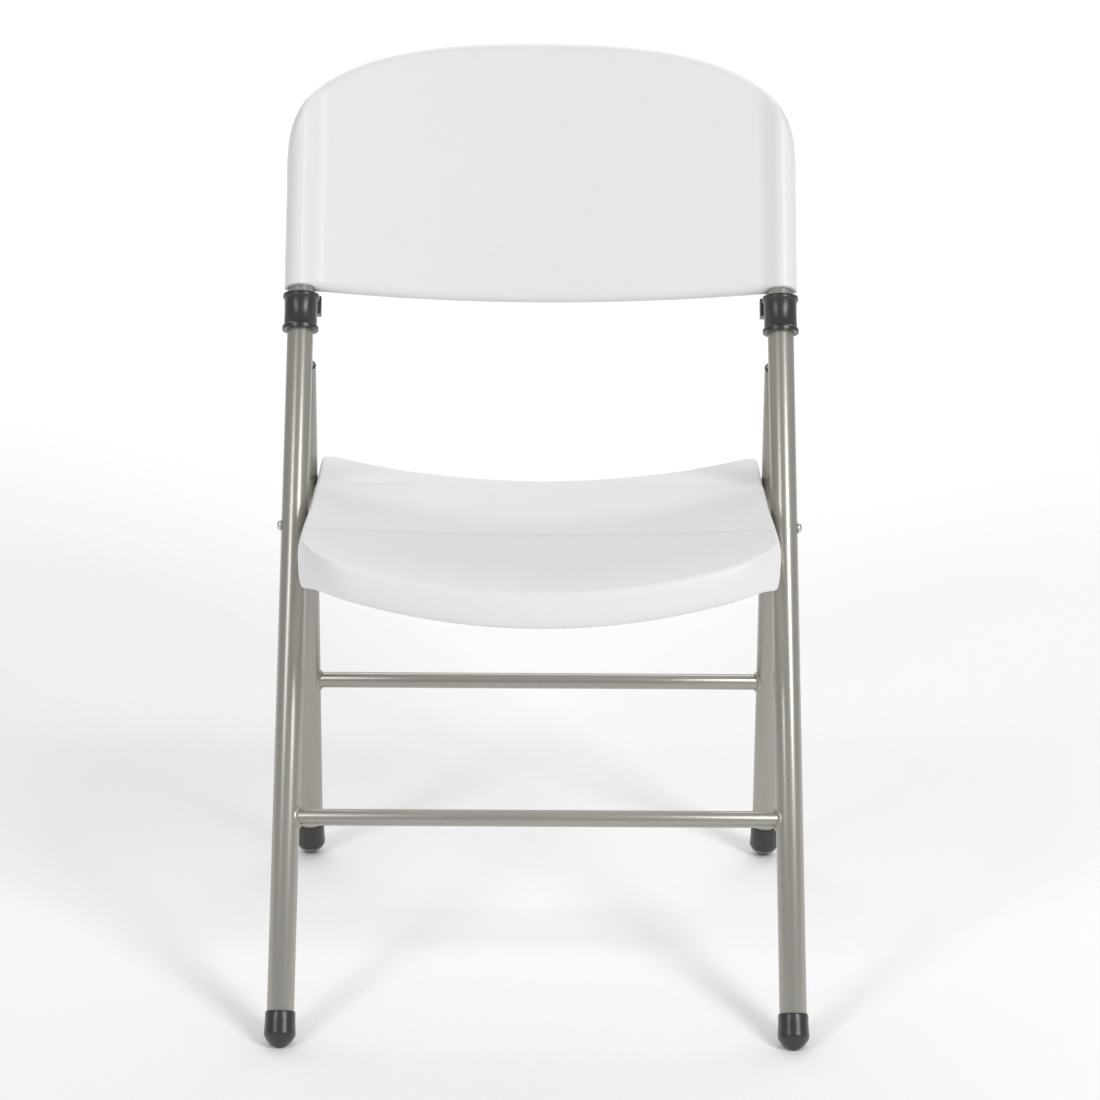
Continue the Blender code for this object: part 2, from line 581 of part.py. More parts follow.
def back_shell(frame):
    """The blow-moulded back: its sleeves go over the front tubes' ends."""
    shape = pillow(BACK_COLUMNS, BACK_ROWS, back_place(0.0, BACK_HALF_WIDTH))
    back = add_object("back_shell", shape, frame, SHELL)
    sleeve = BACK_HALF_WIDTH - BACK_SLEEVE_RADIUS
    hollow_half = sleeve - TUBE_RADIUS - 3 * SHELL_WALL
    shape = pillow(BACK_COLUMNS // 2, BACK_ROWS // 2, back_place(SHELL_WALL, hollow_half))
    cut(back, add_object("cut_back_hollow", shape, frame))
    vent = along((0, BACK_PANEL_SETBACK, back_bottom(0) - SHELL_WALL), (0, BACK_PANEL_SETBACK, BACK_TOP))
    shape = rod(VENT_RADIUS, 4 * SHELL_WALL, SMALL_SEGMENTS)
    cut(back, add_object("cut_back_vent", shape, frame, None, vent))
    for side, sign in SIDES.items():
        low = BACK_BOTTOM - BACK_SLEEVE_RADIUS
        start = (sign * front_x(low), 0, low)
        end = (sign * front_x(FRONT_TUBE_END + GAP), 0, FRONT_TUBE_END + GAP)
        shape = rod(TUBE_RADIUS + GAP, (Vector(end) - Vector(start)).length)
        cut(back, add_object(f"cut_sleeve_{side}", shape, frame, None, along(start, end)))
        axis = sign * front_x(BACK_SCREW_HEIGHT)
        outer = back_middle(axis) + BACK_SLEEVE_RADIUS
        shape = rod(SCREW_RADIUS + GAP, 2 * TUBE_RADIUS, SMALL_SEGMENTS)
        hole = along((axis, TUBE_RADIUS, BACK_SCREW_HEIGHT), (axis, 4 * TUBE_RADIUS, BACK_SCREW_HEIGHT))
        cut(back, add_object(f"cut_back_hole_{side}", shape, frame, None, hole))
        shape = rod(SCREW_HEAD_RADIUS + GAP, TUBE_RADIUS, SMALL_SEGMENTS)
        face = along((axis, outer, BACK_SCREW_HEIGHT), (axis, 2 * outer, BACK_SCREW_HEIGHT))
        cut(back, add_object(f"cut_back_face_{side}", shape, frame, None, face))
        tip = (axis, TUBE_RADIUS - 2 * TUBE_WALL, BACK_SCREW_HEIGHT)
        screw(f"back_screw_{side}", frame, ZINC, (axis, outer + GAP, BACK_SCREW_HEIGHT), tip)


def slot_path():
    """Where the rear leg's pin goes in the seat's plane as the chair folds, open to folded."""
    points = []
    for i in range(SLOT_STEPS + 1):
        share = i / SLOT_STEPS
        lean = REAR_LEAN - share * LEG_FOLD
        y = HINGE_Y + SLIDE_PIN_DROP * sin(lean) - SEAT_PIVOT_HEIGHT * sin(FRONT_TILT)
        z = HINGE_Z - SLIDE_PIN_DROP * cos(lean) - SEAT_PIVOT_HEIGHT * cos(FRONT_TILT)
        back = share * SEAT_FOLD - SEAT_TILT
        points.append(Vector((y * cos(back) + z * sin(back), z * cos(back) - y * sin(back))))
    return points


def rebate_height():
    """The roof of the seat's rebate, over the clenched end of the pin when the chair is open."""
    return slot_path()[0].y + CLENCH_RADIUS + REBATE_HEADROOM


def seat_screw_places():
    """The places of the screws along the bracket's flange."""
    first, last = -BRACKET_FRONT + SEAT_SCREW_END, BRACKET_FLANGE_REAR - SEAT_SCREW_END
    return [first + (last - first) * i / (SEAT_SCREW_COUNT - 1) for i in range(SEAT_SCREW_COUNT)]


def seat_half_width(y):
    share = min(max((-y - SEAT_WIDENS_FROM) / (SEAT_WIDENS_TO - SEAT_WIDENS_FROM), 0), 1)
    ease = share * share * (3 - 2 * share)
    return SEAT_REAR_HALF_WIDTH + (SEAT_FRONT_HALF_WIDTH - SEAT_REAR_HALF_WIDTH) * ease


def corner(x, half_width, radius):
    """How far a round corner draws an edge in at x."""
    past = min(max(abs(x) - (half_width - radius), 0) / radius, 1)
    return radius * (1 - sqrt(1 - past * past))


def seat_front(x):
    share = x / SEAT_FRONT_HALF_WIDTH
    return -SEAT_FRONT_REACH + SEAT_FRONT_BOW * share * share


def seat_top(x):
    share = x / SEAT_FRONT_HALF_WIDTH
    return SEAT_SIDE_HEIGHT - SEAT_DISH * (1 - share * share)


def seat_place(margin, half_limit):
    """The place function of the seat, drawn in by margin and limited to half_limit."""

    def place(u, v, face):
        across = 2 * u - 1
        wide = min(SEAT_FRONT_HALF_WIDTH - margin, half_limit)
        x = across * wide
        front = seat_front(x) + margin + corner(x, wide, SEAT_FRONT_CORNER)
        rear = SEAT_REAR_REACH - margin - corner(x, wide, SEAT_REAR_CORNER)
        y = front + v * (rear - front)
        x = across * min(seat_half_width(y) - margin, half_limit)
        from_edge = min(y - front, rear - y)
        from_side = wide - abs(across * wide)
        radius = SEAT_EDGE_RADIUS
        edge = rounded(from_edge, radius) * rounded(from_side, radius)
        lip = max(1 - (y - seat_front(x)) / SEAT_LIP_DEPTH, 0)
        top = seat_top(x)
        ease = lip * lip * (3 - 2 * lip)
        bottom = SEAT_UNDERSIDE * (1 - ease) + (top - SEAT_LIP_HEIGHT) * ease
        middle, half = (top + bottom) / 2, (top - bottom) / 2 - margin
        return (x, y, middle + face * half * edge)

    return place


def seat_shell(frame):
    """The blow-moulded seat: dished across, bowed at its front lip, rebated for the brackets."""
    seat = add_object("seat_shell", pillow(SEAT_COLUMNS, SEAT_ROWS, seat_place(0.0, 1.0)), frame, SHELL)
    for side, sign in SIDES.items():
        low = (sign * REBATE_HALF_WIDTH, -BRACKET_FRONT - 2 * SLOT_MARGIN, SEAT_UNDERSIDE - SEAT_LIP_HEIGHT)
        high = (sign * 2 * REBATE_HALF_WIDTH, SEAT_REAR_REACH + SEAT_EDGE_RADIUS, rebate_height())
        cut(seat, add_object(f"cut_rebate_{side}", block(low, high), frame))
    hollow = seat_place(SHELL_WALL, REBATE_HALF_WIDTH - SHELL_WALL)
    cut(seat, add_object("cut_seat_hollow", pillow(SEAT_COLUMNS // 2, SEAT_ROWS // 2, hollow), frame))
    vent = along((0, 0, SEAT_UNDERSIDE - SHELL_WALL), (0, 0, 0))
    shape = rod(VENT_RADIUS, 3 * SHELL_WALL, SMALL_SEGMENTS)
    cut(seat, add_object("cut_seat_vent", shape, frame, None, vent))
    for side, sign in SIDES.items():
        x = sign * (BRACKET_OUTER - SEAT_SCREW_INSET)
        for number, y in enumerate(seat_screw_places(), 1):
            flange = SEAT_UNDERSIDE - GAP - BRACKET_SHEET
            start, end = (x, y, flange - GAP), (x, y, SEAT_UNDERSIDE + SHELL_WALL + GAP)
            shape = rod(SCREW_RADIUS + GAP, 4 * SHELL_WALL, SMALL_SEGMENTS)
            hole = along((x, y, SEAT_UNDERSIDE - SHELL_WALL), end)
            cut(seat, add_object(f"cut_seat_screw_{side}_{number}", shape, frame, None, hole))
            screw(f"seat_screw_{side}_{number}", frame, ZINC, start, end)


def arc(centre, radius, start, end, steps=8):
    angles = [start + (end - start) * i / steps for i in range(steps + 1)]
    return [Vector((centre[0] + radius * cos(a), centre[1] + radius * sin(a))) for a in angles]


def normals(path):
    """A unit normal on the lower side at each point of the slot's path."""
    found = []
    for i in range(len(path)):
        step = path[min(i + 1, len(path) - 1)] - path[max(i - 1, 0)]
        found.append(Vector((-step.y, step.x)).normalized())
    return found


def around(path, radius):
    """A closed outline at radius from the path, round at both ends."""
    below = normals(path)
    first = atan2(below[0].y, below[0].x)
    last = atan2(below[-1].y, below[-1].x)
    outline = [p + n * radius for p, n in zip(path, below)]
    outline += arc(path[-1], radius, last, last - pi)[1:-1]
    outline += [p - n * radius for p, n in reversed(list(zip(path, below)))]
    outline += arc(path[0], radius, first - pi, first - 2 * pi)[1:-1]
    return outline


def bracket_outline(path):
    """The bracket's side view: a rail along the seat, with a tail that follows the slot."""
    margin = RIVET_RADIUS + SLOT_CLEARANCE + SLOT_MARGIN
    below = normals(path)
    flange = SEAT_UNDERSIDE - GAP - BRACKET_SHEET
    top = rebate_height() - BRACKET_REBATE_CLEARANCE
    level = asin((top - path[0].y) / margin)
    outline = [Vector((-BRACKET_FRONT, flange)), Vector((-BRACKET_FRONT, top))]
    first = atan2(below[0].y, below[0].x)
    outline += arc(path[0], margin, level, first)[1:]
    outline += [p + n * margin for p, n in zip(path, below)][1:]
    last = atan2(below[-1].y, below[-1].x)
    outline += arc(path[-1], margin, last, -pi)[1:]
    outline.append(Vector((path[-1].x - margin, flange)))
    return outline


def seat_bracket(side, sign, frame):
    """A pressed steel bracket screwed under the side of the seat, with the slot for the pin."""
    outer = sign * BRACKET_OUTER
    inner = outer - sign * BRACKET_SHEET
    path = slot_path()
    shape = prism(bracket_outline(path), min(inner, outer), max(inner, outer))
    bracket = add_object(f"seat_bracket_{side}", shape, frame, STEEL)
    top = SEAT_UNDERSIDE - GAP
    low = (outer, -BRACKET_FRONT, top - BRACKET_SHEET)
    high = (outer - sign * BRACKET_FLANGE_WIDTH, BRACKET_FLANGE_REAR, top)
    cut(bracket, add_object(f"add_flange_{side}", block(low, high), frame), "UNION")
    reach = 2 * BRACKET_SHEET
    x_from, x_to = min(inner, outer) - reach, max(inner, outer) + reach
    slot = prism(around(path, RIVET_RADIUS + SLOT_CLEARANCE), x_from, x_to)
    cut(bracket, add_object(f"cut_slot_{side}", slot, frame))
    cut(bracket, cross_hole(f"cut_pivot_hole_{side}", frame, x_from, x_to, 0, 0, RIVET_RADIUS + GAP))
    x = outer - sign * SEAT_SCREW_INSET
    for number, y in enumerate(seat_screw_places(), 1):
        shape = rod(SCREW_RADIUS + GAP, 3 * BRACKET_SHEET, SMALL_SEGMENTS)
        hole = along((x, y, top - 2 * BRACKET_SHEET), (x, y, top))
        cut(bracket, add_object(f"cut_bracket_screw_{side}_{number}", shape, frame, None, hole))


def stand_on_centre(chair):
    """Moves the chair so that its box stands on the floor with its centre on the Z axis."""
    bpy.context.view_layer.update()
    graph = bpy.context.evaluated_depsgraph_get()
    reach = []
    for obj in bpy.context.view_layer.objects:
        if obj.type == "MESH" and not obj.hide_render:
            evaluated = obj.evaluated_get(graph)
            ys = [(evaluated.matrix_world @ vertex.co).y for vertex in evaluated.data.vertices]
            reach += [min(ys), max(ys)]
    chair.location.y = -(min(reach) + max(reach)) / 2


def build():
    clear_scene()
    chair = empty("chair")
    front = empty("front_frame", chair, turn=-FRONT_TILT)
    rear = empty("rear_frame", chair, (0, HINGE_Y, HINGE_Z), REAR_LEAN)
    pivot = (0, SEAT_PIVOT_HEIGHT * sin(FRONT_TILT), SEAT_PIVOT_HEIGHT * cos(FRONT_TILT))
    seat = empty("seat_frame", chair, pivot, -SEAT_TILT)
    for side, sign in SIDES.items():
        front_tube(side, sign, front)
        foot_cap(f"front_foot_{side}", front, sign * front_x(0), 0, FRONT_SPLAY, -FRONT_TILT, FRONT_TUBE_START)
        seat_pivot(side, sign, front)
        hinge_clevis(side, sign, front)
        collar(side, sign, front)
        rear_tube(side, sign, rear)
        hinge_tongue(side, sign, rear)
        slide_pin(side, sign, rear)
        foot = sign * rear_x(-LEG_LENGTH)
        end = REAR_TUBE_START - LEG_LENGTH
        foot_cap(f"rear_foot_{side}", rear, foot, -LEG_LENGTH, REAR_SPLAY, REAR_LEAN, end)
        seat_bracket(side, sign, seat)
    crossbar("front_crossbar", front, FRONT_BAR_HEIGHT, front_x(FRONT_BAR_HEIGHT), FRONT_SPLAY)
    crossbar("rear_crossbar", rear, -REAR_BAR_DROP, rear_x(-REAR_BAR_DROP), REAR_SPLAY)
    back_shell(front)
    seat_shell(seat)
    stand_on_centre(chair)


build()
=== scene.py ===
from math import asin, atan2, cos, exp, pi, radians, sin, sqrt

import bmesh
import bpy
from mathutils import Matrix, Vector


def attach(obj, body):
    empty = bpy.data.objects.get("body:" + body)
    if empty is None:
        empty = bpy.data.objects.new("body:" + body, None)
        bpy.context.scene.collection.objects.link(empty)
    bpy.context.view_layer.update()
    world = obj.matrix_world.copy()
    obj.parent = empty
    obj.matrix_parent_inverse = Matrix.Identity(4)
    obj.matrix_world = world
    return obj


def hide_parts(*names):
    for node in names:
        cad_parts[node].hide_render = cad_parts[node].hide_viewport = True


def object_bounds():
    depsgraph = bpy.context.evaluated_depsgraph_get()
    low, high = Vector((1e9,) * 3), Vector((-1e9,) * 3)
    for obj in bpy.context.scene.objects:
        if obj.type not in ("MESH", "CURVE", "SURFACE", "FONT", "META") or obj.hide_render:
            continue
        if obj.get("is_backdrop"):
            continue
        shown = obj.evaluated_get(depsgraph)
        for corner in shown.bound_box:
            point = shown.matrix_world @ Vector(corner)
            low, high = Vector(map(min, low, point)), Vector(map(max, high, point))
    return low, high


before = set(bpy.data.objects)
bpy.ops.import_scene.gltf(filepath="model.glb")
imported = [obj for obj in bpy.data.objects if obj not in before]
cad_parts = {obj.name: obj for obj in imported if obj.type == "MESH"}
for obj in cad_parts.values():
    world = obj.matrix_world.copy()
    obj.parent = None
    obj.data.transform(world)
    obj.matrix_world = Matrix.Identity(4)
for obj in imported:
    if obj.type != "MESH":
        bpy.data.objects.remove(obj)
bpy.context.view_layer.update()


# ---------------------------------------------------------------- Studio
# A pale floor that fills the picture, an even white surround, and three soft boxes: a tall one at
# each side, which draw the tubes' highlights, and a wide one over the floor behind the chair.
bpy.ops.mesh.primitive_plane_add(size=80, location=(0, 0, -0.0002))
floor = bpy.context.active_object
floor.name = "floor"
floor_paint = bpy.data.materials.new("floor_paint")
floor_paint.use_nodes = True
floor_shader = floor_paint.node_tree.nodes["Principled BSDF"]
floor_shader.inputs["Base Color"].default_value = (0.96, 0.96, 0.96, 1)
floor_shader.inputs["Roughness"].default_value = 0.85
floor_shader.inputs["Specular IOR Level"].default_value = 0.2
floor.data.materials.append(floor_paint)
floor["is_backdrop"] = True

world = bpy.data.worlds.new("surround")
world.use_nodes = True
world.node_tree.nodes["Background"].inputs["Color"].default_value = (1, 1, 1, 1)
world.node_tree.nodes["Background"].inputs["Strength"].default_value = 0.44
bpy.context.scene.world = world
bpy.context.scene.view_settings.view_transform = "Standard"


def soft_box(name, place, target, width, height, power):
    """An area light of that size at place, facing the target."""
    bpy.ops.object.light_add(type="AREA", location=place)
    light = bpy.context.active_object
    light.name = name
    light.data.shape = "RECTANGLE"
    light.data.size, light.data.size_y = width, height
    light.data.energy = power
    light.rotation_euler = (Vector(target) - Vector(place)).to_track_quat("-Z", "Y").to_euler()
    return light


soft_box("key", (2.0, -2.1, 2.6), (0, 0, 0.5), 0.9, 1.7, 52)
soft_box("left", (-2.0, -2.1, 2.6), (0, 0, 0.5), 0.7, 1.6, 24)
soft_box("background", (0, 3.8, 3.4), (0, 3.8, 0), 7.0, 3.4, 150)

# The camera stands well back, a little above the chair and square to it.
bpy.ops.object.camera_add()
camera = bpy.context.active_object
camera.data.lens = 114.1
camera.data.sensor_width = 36
camera.matrix_world = (
    Matrix.Translation((-0.0027, -3.1615, 1.5508))
    @ Matrix.Rotation(-0.0041, 4, "Z")
    @ Matrix.Rotation(pi / 2 - 0.3514, 4, "X")
    @ Matrix.Rotation(0.0071, 4, "Z")
)
bpy.context.scene.camera = camera


# ---------------------------------------------------------------- Front tubes
# Two straight steel tubes from the front feet up into the back's sleeves, in a grey-beige powder
# coat. The coat is satin, with an orange-peel grain and a fine metallic fleck.
def add_node(tree, kind, settings=None, **inputs):
    """A node with its settings and inputs, where an input is a value or another node's socket."""
    made = tree.nodes.new(kind)
    for key, value in (settings or {}).items():
        setattr(made, key, value)
    for key, value in inputs.items():
        socket = made.inputs[int(key[1:])] if key[0] == "_" else made.inputs[key.replace("_", " ")]
        if isinstance(value, bpy.types.NodeSocket):
            tree.links.new(value, socket)
        else:
            socket.default_value = value
    return made


def worn_surface():
    """The node group all finishes share: tone drift, fine speckle, scuffs and worn edges."""
    group = bpy.data.node_groups.new("worn_surface", "ShaderNodeTree")
    grey = (0.5, 0.5, 0.5, 1)
    for name, kind, value in (
        ("Vector", "NodeSocketVector", (0, 0, 0)),
        ("Colour", "NodeSocketColor", grey),
        ("Tone", "NodeSocketFloat", 0.03),
        ("Tone Scale", "NodeSocketFloat", 8.0),
        ("Speckle", "NodeSocketFloat", 0.03),
        ("Speckle Scale", "NodeSocketFloat", 900.0),
        ("Scuff Colour", "NodeSocketColor", grey),
        ("Scuff", "NodeSocketFloat", 0.2),
        ("Scuff Scale", "NodeSocketFloat", 30.0),
        ("Edge Colour", "NodeSocketColor", grey),
        ("Edge", "NodeSocketFloat", 0.0),
        ("Roughness", "NodeSocketFloat", 0.5),
        ("Roughness Spread", "NodeSocketFloat", 0.1),
    ):
        group.interface.new_socket(name, in_out="INPUT", socket_type=kind).default_value = value
    for name, kind in (
        ("Colour", "NodeSocketColor"),
        ("Roughness", "NodeSocketFloat"),
        ("Height", "NodeSocketFloat"),
    ):
        group.interface.new_socket(name, in_out="OUTPUT", socket_type=kind)
    given = group.nodes.new("NodeGroupInput").outputs
    made = group.nodes.new("NodeGroupOutput").inputs
    math, noise = "ShaderNodeMath", "ShaderNodeTexNoise"
    where = given["Vector"]
    tone = add_node(group, noise, Vector=where, Scale=given["Tone Scale"], Detail=4.0)
    speckle = add_node(group, noise, Vector=where, Scale=given["Speckle Scale"], Detail=2.0)
    scuff = add_node(
        group, noise, Vector=where, Scale=given["Scuff Scale"], Detail=6.0, Distortion=0.6
    )
    times_add = {"operation": "MULTIPLY_ADD"}
    drift = add_node(group, math, times_add, _0=tone.outputs["Fac"], _1=2.0, _2=-1.0)
    grain = add_node(group, math, times_add, _0=speckle.outputs["Fac"], _1=2.0, _2=-1.0)
    drifted = add_node(group, math, {"operation": "MULTIPLY"}, _0=drift.outputs[0], _1=given["Tone"])
    value = add_node(
        group, math, times_add, _0=grain.outputs[0], _1=given["Speckle"], _2=drifted.outputs[0]
    )
    value = add_node(group, math, {"operation": "ADD"}, _0=value.outputs[0], _1=1.0)
    toned = add_node(group, "ShaderNodeHueSaturation", Color=given["Colour"], Value=value.outputs[0])
    marks = add_node(
        group, "ShaderNodeMapRange",
        Value=scuff.outputs["Fac"], From_Min=0.60, From_Max=0.74, To_Min=0.0, To_Max=1.0,
    )
    scuffed = add_node(
        group, math, {"operation": "MULTIPLY"}, _0=marks.outputs["Result"], _1=given["Scuff"]
    )
    mix = {"data_type": "RGBA"}
    colour = add_node(
        group, "ShaderNodeMix", mix,
        _0=scuffed.outputs[0], _6=toned.outputs["Color"], _7=given["Scuff Colour"],
    )
    broken = add_node(
        group, "ShaderNodeMapRange",
        Value=scuff.outputs["Fac"], From_Min=0.40, From_Max=0.60, To_Min=0.0, To_Max=1.0,
    )
    rubbed = add_node(
        group, math, {"operation": "MULTIPLY"}, _0=given["Edge"], _1=broken.outputs["Result"]
    )
    colour = add_node(
        group, "ShaderNodeMix", mix, _0=rubbed.outputs[0], _6=colour.outputs[2], _7=given["Edge Colour"]
    )
    rough = add_node(
        group, math, times_add,
        _0=drift.outputs[0], _1=given["Roughness Spread"], _2=given["Roughness"],
    )
    rough = add_node(group, math, times_add, _0=scuffed.outputs[0], _1=0.12, _2=rough.outputs[0])
    height = add_node(
        group, math, times_add, _0=scuffed.outputs[0], _1=-0.5, _2=speckle.outputs["Fac"]
    )
    group.links.new(colour.outputs[2], made["Colour"])
    group.links.new(rough.outputs[0], made["Roughness"])
    group.links.new(height.outputs[0], made["Height"])
    return group


def finish(name, metallic, coat, bump, edge_from, edge_to, **worn):
    """A material that feeds the shared group's outputs to its own shader."""
    made = bpy.data.materials.new(name)
    made.use_nodes = True
    tree = made.node_tree
    shader = tree.nodes["Principled BSDF"]
    place = tree.nodes.new("ShaderNodeTexCoord")
    shape = tree.nodes.new("ShaderNodeNewGeometry")
    edge = add_node(
        tree, "ShaderNodeMapRange", Value=shape.outputs["Pointiness"], From_Min=edge_from, From_Max=edge_to
    )
    group = bpy.data.node_groups.get("worn_surface") or worn_surface()
    surface = add_node(
        tree, "ShaderNodeGroup", {"node_tree": group},
        Vector=place.outputs["Object"], Edge=edge.outputs["Result"], **worn,
    )
    relief = add_node(
        tree, "ShaderNodeBump", Height=surface.outputs["Height"], Strength=bump, Distance=0.0004
    )
    tree.links.new(surface.outputs["Colour"], shader.inputs["Base Color"])
    tree.links.new(surface.outputs["Roughness"], shader.inputs["Roughness"])
    tree.links.new(relief.outputs["Normal"], shader.inputs["Normal"])
    shader.inputs["Metallic"].default_value = metallic
    shader.inputs["Coat Weight"].default_value = coat
    shader.inputs["Coat Roughness"].default_value = 0.3
    return made


powder_coat = finish(
    "powder_coat", metallic=0.60, coat=0.0, bump=0.10, edge_from=0.56, edge_to=0.66,
    Colour=(0.395, 0.380, 0.345, 1), Tone=0.035, Tone_Scale=9.0, Speckle=0.10, Speckle_Scale=1400.0,
    Scuff_Colour=(0.33, 0.32, 0.29, 1), Scuff=0.10, Scuff_Scale=26.0,
    Edge_Colour=(0.52, 0.51, 0.48, 1), Roughness=0.29, Roughness_Spread=0.05,
)

tube_radius, tube_wall = 0.0127, 0.0012
front_lean = radians(32.8)
front_taper = 0.00768
front_tube_start, front_tube_end = 0.0138, 0.872
front_frame = Matrix.Translation((0, -0.278096, 0)) @ Matrix.Rotation(-front_lean, 4, "X")


def front_x(height):
    """Half of the space between the front tubes' axes at that height along them."""
    return 0.2391 - height * front_taper


def put(obj, name, matrix, material):
    """Names a piece, moves its mesh to its place, and gives it its material."""
    obj.name = obj.data.name = name
    obj.data.transform(matrix)
    obj.data.materials.clear()
    obj.data.materials.append(material)
    return obj


def along(low, high):
    """The matrix that puts +Z along the line from low to high, with its origin at low."""
    turn = (Vector(high) - Vector(low)).to_track_quat("Z", "Y")
    return Matrix.Translation(low) @ turn.to_matrix().to_4x4()


def tube(name, place, low, high, radius, wall, material):
    """An open steel tube between two points of a frame, its rims slightly rounded."""
    length = (Vector(high) - Vector(low)).length
    bpy.ops.mesh.primitive_cylinder_add(
        vertices=72, radius=radius, depth=length, end_fill_type="NOTHING", location=(0, 0, length / 2)
    )
    made = bpy.context.active_object
    bpy.ops.object.transform_apply(location=True)
    solid = made.modifiers.new("wall", "SOLIDIFY")
    solid.thickness, solid.offset = wall, -1
    bpy.ops.object.modifier_apply(modifier="wall")
    rim = made.modifiers.new("rim", "BEVEL")
    rim.width, rim.segments, rim.limit_method, rim.angle_limit = 0.0003, 2, "ANGLE", radians(60)
    bpy.ops.object.modifier_apply(modifier="rim")
    bpy.ops.object.shade_smooth_by_angle(angle=radians(40))
    return put(made, name, place @ along(low, high), material)


for side, sign in (("left", 1), ("right", -1)):
    low = (sign * front_x(front_tube_start), 0, front_tube_start)
    high = (sign * front_x(front_tube_end), 0, front_tube_end)
    made = tube(f"front-tube-{side}", front_frame, low, high, tube_radius, tube_wall, powder_coat)
    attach(made, "front_frame")
    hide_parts(f"front_tube_{side}")


# ---------------------------------------------------------------- Front crossbar
# A thinner steel tube welded between the front tubes, coated with them. A rippled weld bead runs
# round each end, saddle-shaped where the bar meets the leg.
bar_radius, bar_wall = 0.00795, 0.001
bar_cope = 0.0009
front_bar = 0.2156


def weld_bead(name, place, centre, sign, material):
    """A weld bead round a crossbar's end: a ring bent to the leg's surface, with ripples."""
    bead = 0.0019
    bpy.ops.mesh.primitive_torus_add(
        major_segments=144, minor_segments=14, major_radius=bar_radius + bead * 0.25, minor_radius=bead
    )
    made = bpy.context.active_object
    for vertex in made.data.vertices:
        across, height, out = vertex.co
        around = atan2(height, across)
        ripple = 1 + 0.10 * abs(sin(15 * around)) + 0.05 * sin(5 * around + sign)
        ring = (bar_radius + bead * 0.25) * Vector((cos(around), sin(around)))
        across = ring.x + (across - ring.x) * ripple
        height = ring.y + (height - ring.y) * ripple
        saddle = sqrt(tube_radius**2 - min(abs(across), tube_radius * 0.95) ** 2)
        vertex.co = (-sign * saddle + out * ripple, across, height)
    bpy.ops.object.mode_set(mode="EDIT")
    bpy.ops.mesh.select_all(action="SELECT")
    bpy.ops.mesh.normals_make_consistent(inside=False)
    bpy.ops.object.mode_set(mode="OBJECT")
    bpy.ops.object.shade_smooth()
    return put(made, name, place @ Matrix.Translation(centre), material)


half = front_x(front_bar)
reach = half - tube_radius + bar_cope
left_end, right_end = (reach, 0, front_bar), (-reach, 0, front_bar)
made = tube("front-crossbar", front_frame, right_end, left_end, bar_radius, bar_wall, powder_coat)
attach(made, "front_frame")
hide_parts("front_crossbar")
for side, sign in (("left", 1), ("right", -1)):
    made = weld_bead(f"front-weld-{side}", front_frame, (sign * half, 0, front_bar), sign, powder_coat)
    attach(made, "front_frame")


# ---------------------------------------------------------------- Foot caps
# Black moulded caps pushed over the tube ends, a little wider at the foot, which is domed and
# cut flat where it meets the floor.
black_plastic = finish(
    "black_plastic", metallic=0.0, coat=0.35, bump=0.18, edge_from=0.53, edge_to=0.62,
    Colour=(0.026, 0.022, 0.023, 1), Tone=0.10, Tone_Scale=22.0, Speckle=0.20, Speckle_Scale=1600.0,
    Scuff_Colour=(0.075, 0.070, 0.068, 1), Scuff=0.22, Scuff_Scale=70.0,
    Edge_Colour=(0.10, 0.095, 0.092, 1), Roughness=0.30, Roughness_Spread=0.07,
)


def lathe(profile, closed=False, segments=72):
    """A shape turned about Z from (radius, height) points by Spin."""
    mesh = bpy.data.meshes.new("lathe")
    edges = [(i, i + 1) for i in range(len(profile) - 1)]
    if closed:
        edges.append((len(profile) - 1, 0))
    mesh.from_pydata([(radius, 0, height) for radius, height in profile], edges, [])
    made = bpy.data.objects.new("lathe", mesh)
    bpy.context.scene.collection.objects.link(made)
    bpy.ops.object.select_all(action="DESELECT")
    bpy.context.view_layer.objects.active = made
    made.select_set(True)
    bpy.ops.object.mode_set(mode="EDIT")
    bpy.ops.mesh.select_all(action="SELECT")
    bpy.ops.mesh.spin(steps=segments, angle=2 * pi, center=(0, 0, 0), axis=(0, 0, 1))
    bpy.ops.mesh.select_all(action="SELECT")
    bpy.ops.mesh.remove_doubles(threshold=1e-6)
    bpy.ops.mesh.normals_make_consistent(inside=False)
    bpy.ops.object.mode_set(mode="OBJECT")
    return made


def soften(obj, width, segments=3, angle=28):
    """Rounds the sharp edges of a piece and smooths it."""
    bevel = obj.modifiers.new("soften", "BEVEL")
    bevel.width, bevel.segments = width, segments
    bevel.limit_method, bevel.angle_limit = "ANGLE", radians(angle)
    bpy.context.view_layer.objects.active = obj
    bpy.ops.object.modifier_apply(modifier="soften")
    obj.select_set(True)
    bpy.ops.object.shade_smooth_by_angle(angle=radians(40))


